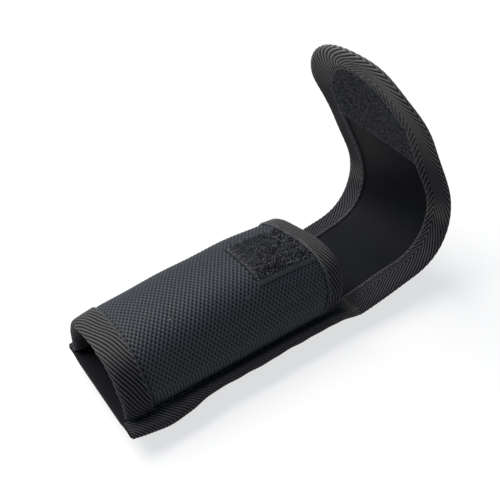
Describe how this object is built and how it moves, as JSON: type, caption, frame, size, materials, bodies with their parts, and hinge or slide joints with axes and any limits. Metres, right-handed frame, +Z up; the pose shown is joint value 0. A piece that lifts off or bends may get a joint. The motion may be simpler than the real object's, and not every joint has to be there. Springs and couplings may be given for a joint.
{
  "type": "belt holster",
  "caption": "Black nylon belt holster for a hand torch, with an arched sleeve open at the foot and a fold-over flap held by hook and loop tape.",
  "frame": {"origin": "middle of the bounding box, on the surface that the belt loop lies on", "axes": "+X from the open foot to the mouth and on to the flap, +Z up out of the front panel, +Y across to the far side"},
  "size_m": [0.1534, 0.06, 0.1095],
  "materials": {
    "ballistic_nylon": "satin",
    "foam": "matte",
    "lining": "matte",
    "binding_tape": "satin",
    "hook_tape": "matte",
    "loop_tape": "matte",
    "webbing": "satin",
    "thread": "satin"
  },
  "bodies": {
    "pouch": {"back_outer": "ballistic_nylon", "back_foam": "foam", "back_lining": "lining", "front_outer": "ballistic_nylon", "front_foam": "foam", "front_lining": "lining", "foot_binding": "binding_tape", "mouth_binding": "binding_tape", "side_binding_near": "binding_tape", "side_binding_far": "binding_tape", "hook_patch": "hook_tape", "belt_loop": "webbing", "foot_binding_thread": "thread", "mouth_binding_thread": "thread", "side_thread_near": "thread", "side_thread_far": "thread", "hook_patch_thread": "thread", "belt_loop_thread": "thread"},
    "flap_base": {"flap_base_outer": "ballistic_nylon", "flap_base_foam": "foam", "flap_base_lining": "lining", "flap_base_binding_near": "binding_tape", "flap_base_binding_far": "binding_tape", "flap_base_thread": "thread"},
    "flap_crown": {"flap_crown_outer": "ballistic_nylon", "flap_crown_foam": "foam", "flap_crown_lining": "lining", "flap_crown_binding_near": "binding_tape", "flap_crown_binding_far": "binding_tape", "flap_crown_thread": "thread"},
    "flap_tip": {"loop_patch": "loop_tape", "loop_patch_thread": "thread", "flap_tip_outer": "ballistic_nylon", "flap_tip_foam": "foam", "flap_tip_lining": "lining", "flap_tip_binding": "binding_tape", "flap_tip_thread": "thread"}
  },
  "joints": [
    {"name": "fold_mouth", "type": "hinge", "parent": "pouch", "child": "flap_base", "pos_m": [0.02162, 0, 0.00812], "axis": [0, -1, 0], "range_deg": [-8.5, 6]},
    {"name": "fold_lower", "type": "hinge", "parent": "flap_base", "child": "flap_crown", "pos_m": [0.05933, 0, 0.01387], "axis": [0, -1, 0], "range_deg": [-48.5, 30]},
    {"name": "fold_upper", "type": "hinge", "parent": "flap_crown", "child": "flap_tip", "pos_m": [0.07433, 0, 0.03696], "axis": [0, -1, 0], "range_deg": [-48.5, 30.5]}
  ]
}
